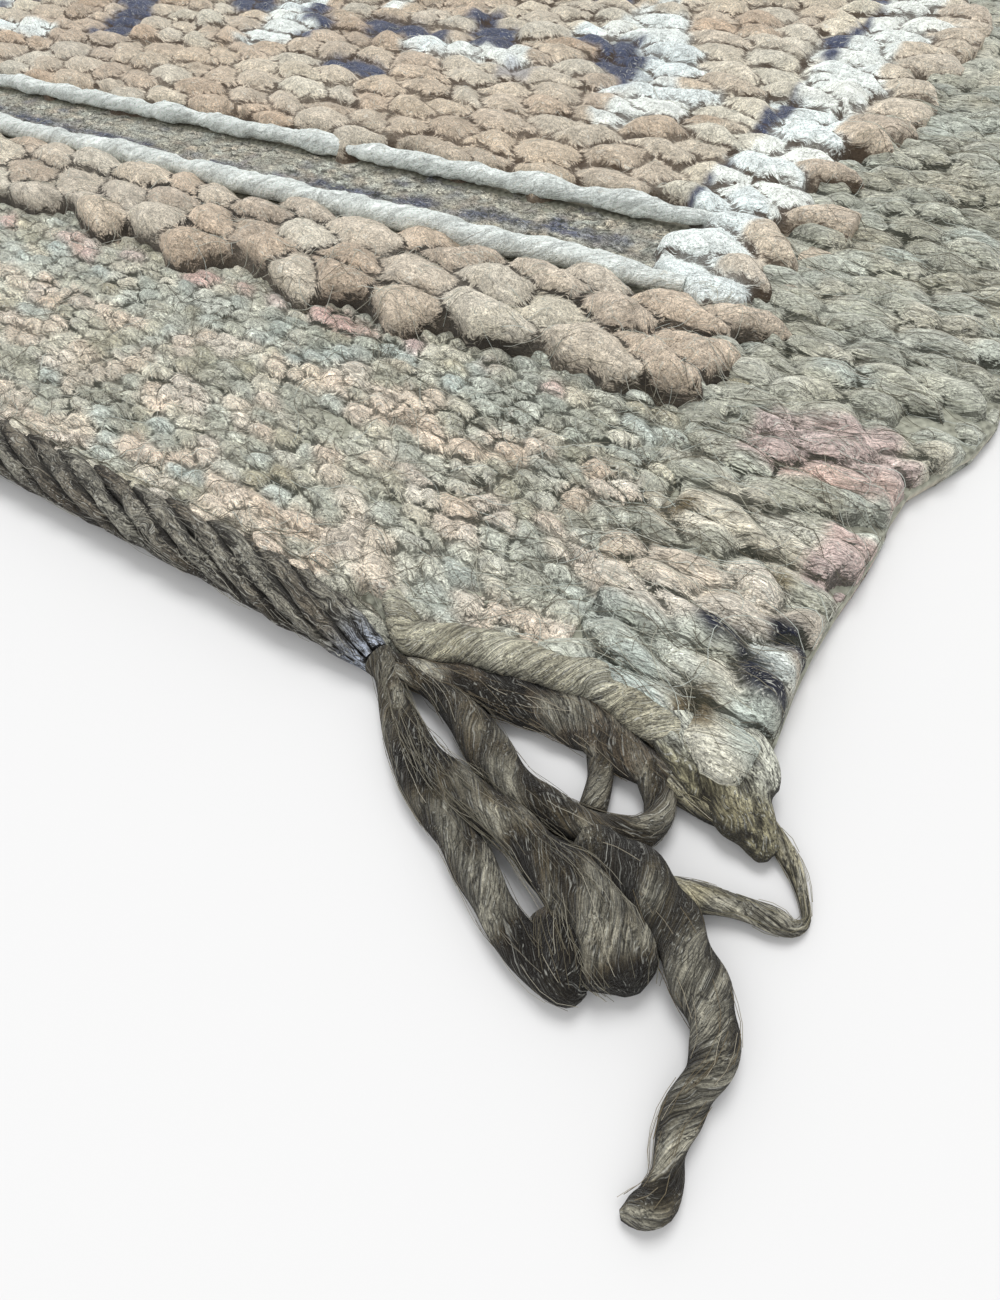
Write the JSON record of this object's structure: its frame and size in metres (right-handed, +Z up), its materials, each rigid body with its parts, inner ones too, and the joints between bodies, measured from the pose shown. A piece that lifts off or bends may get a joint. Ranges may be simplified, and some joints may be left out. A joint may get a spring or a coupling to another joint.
{
  "type": "beni mguild rug",
  "caption": "Hand-knotted wool rug lying flat: corded selvedges, flatwoven ends with twisted hem cords, rows of knotted pile, white wefts and matted loose warp ends at one corner.",
  "frame": {"origin": "centre of the cloth's flat underside, on the floor that it lies on", "axes": "+X along the wefts, towards the side with the loose warp ends; +Y along the warps, from the front hem to the back one; +Z up through the pile"},
  "size_m": [0.6449, 0.9783, 0.0183],
  "materials": {
    "wool_cloth": "undyed and faded hand-spun wool, knotted and flatwoven, matt and hairy",
    "dark_wool_cord": "dark brown-grey goat hair and wool, twisted, matt",
    "loose_warp_wool": "dark grey-brown unspun warp ends, matted and hairy"
  },
  "bodies": {
    "root": {"woven_cloth": "wool_cloth", "front_hem_cord": "dark_wool_cord", "back_hem_cord": "dark_wool_cord", "loose_warp_ends": "loose_warp_wool"}
  },
  "joints": []
}
